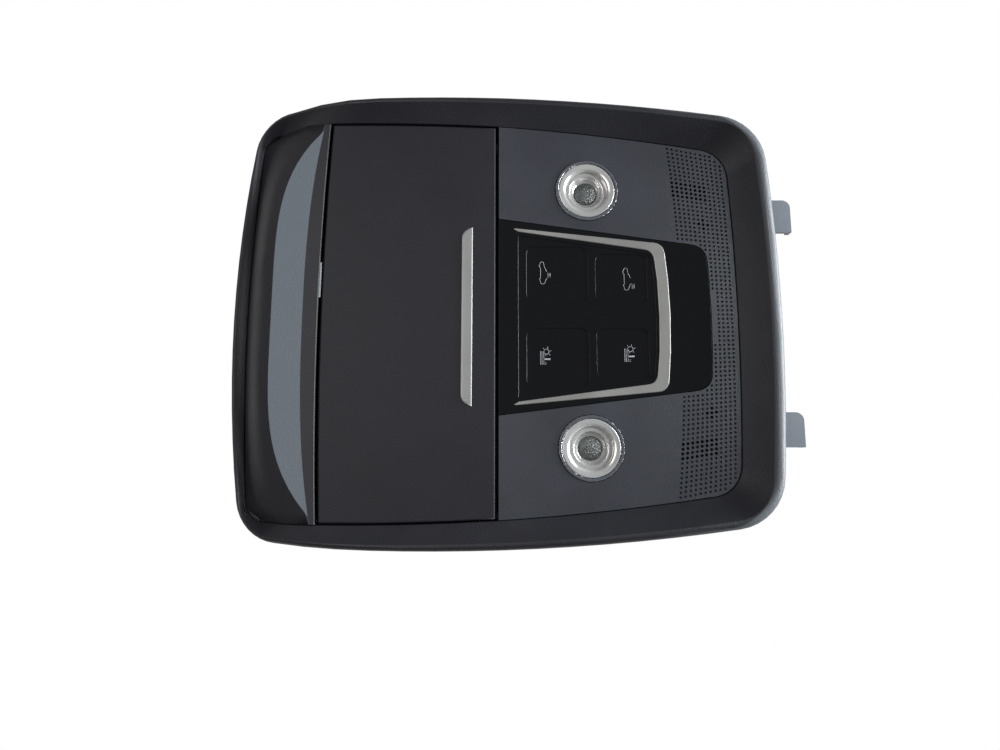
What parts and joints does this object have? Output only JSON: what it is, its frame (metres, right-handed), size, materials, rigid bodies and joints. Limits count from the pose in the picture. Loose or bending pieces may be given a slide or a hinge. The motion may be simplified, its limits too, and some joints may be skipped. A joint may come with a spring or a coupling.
{
  "type": "car roof console with reading lamps",
  "caption": "Roof console for a car interior: round reading lamps, touch panel, perforated microphone area and a damped drop-down glasses compartment with a push latch.",
  "frame": {"origin": "on the rear rest plane, under the middle of the parting gap between lid and lamp panel", "axes": "+Z out of the visible face, +X from the compartment towards the lamps and hooks, +Y across, to the upper lamp in the picture"},
  "size_m": [0.2727, 0.2138, 0.0523],
  "materials": {
    "bezel_plastic": "fine grained, dark",
    "panel_plastic": "fine grained, dark grey",
    "gloss_black": "polished",
    "satin_trim": "satin metallic paint",
    "white_plastic": "plain",
    "board": "lacquered",
    "black_part": "plain moulded",
    "grey_carrier": "plain moulded, light grey",
    "felt": "short nap",
    "clear_plastic": "clear, polished",
    "chrome_ring": "bright plated plastic",
    "steel": "zinc plated",
    "soft_rubber": "matt"
  },
  "bodies": {
    "console": {"bezel": "bezel_plastic", "end_panel": "panel_plastic", "lamp_panel": "panel_plastic", "touch_panel": "gloss_black", "touch_trim": "satin_trim", "light_guide": "white_plastic", "main_board": "board", "touch_chip": "black_part", "connector": "black_part", "carrier": "grey_carrier", "damper_body": "black_part", "latch_housing": "black_part", "lamp_ring_upper": "clear_plastic", "lamp_chrome_upper": "chrome_ring", "lamp_dish_upper": "chrome_ring", "lamp_lens_upper": "clear_plastic", "lamp_housing_upper": "black_part", "led_upper": "white_plastic", "microphone_upper": "steel", "mic_boot_upper": "soft_rubber", "hinge_pin_upper": "steel", "bumper_upper": "soft_rubber", "foot_pad_upper": "felt", "roof_clip_upper": "steel", "lamp_ring_lower": "clear_plastic", "lamp_chrome_lower": "chrome_ring", "lamp_dish_lower": "chrome_ring", "lamp_lens_lower": "clear_plastic", "lamp_housing_lower": "black_part", "led_lower": "white_plastic", "microphone_lower": "steel", "mic_boot_lower": "soft_rubber", "hinge_pin_lower": "steel", "bumper_lower": "soft_rubber", "foot_pad_lower": "felt", "roof_clip_lower": "steel", "screw_1": "steel", "screw_2": "steel", "screw_3": "steel", "screw_4": "steel"},
    "compartment": {"lid": "bezel_plastic", "lid_strip": "satin_trim", "bin": "black_part", "bin_liner": "felt", "striker": "black_part"},
    "damper_rotor": {"damper_gear": "white_plastic"},
    "latch_slide": {"latch_plunger": "white_plastic"}
  },
  "joints": [
    {"name": "compartment_hinge", "type": "hinge", "parent": "console", "child": "compartment", "pos_m": [-0.0688, 0, 0.04], "axis": [0, -1, 0], "range_deg": [0, 58]},
    {"name": "damper_spin", "type": "hinge", "parent": "console", "child": "damper_rotor", "pos_m": [-0.04498, 0.085, 0.02625], "axis": [0, -1, 0], "range_deg": [-232, 0]},
    {"name": "latch_push", "type": "slide", "parent": "console", "child": "latch_slide", "axis": [0, 0, -1], "range_m": [0, 0.0015], "stiffness_N_per_m": 400, "springref_m": -0.002}
  ],
  "couplings": [
    {"joint": "damper_spin", "follows": "compartment_hinge", "ratio": -4}
  ]
}
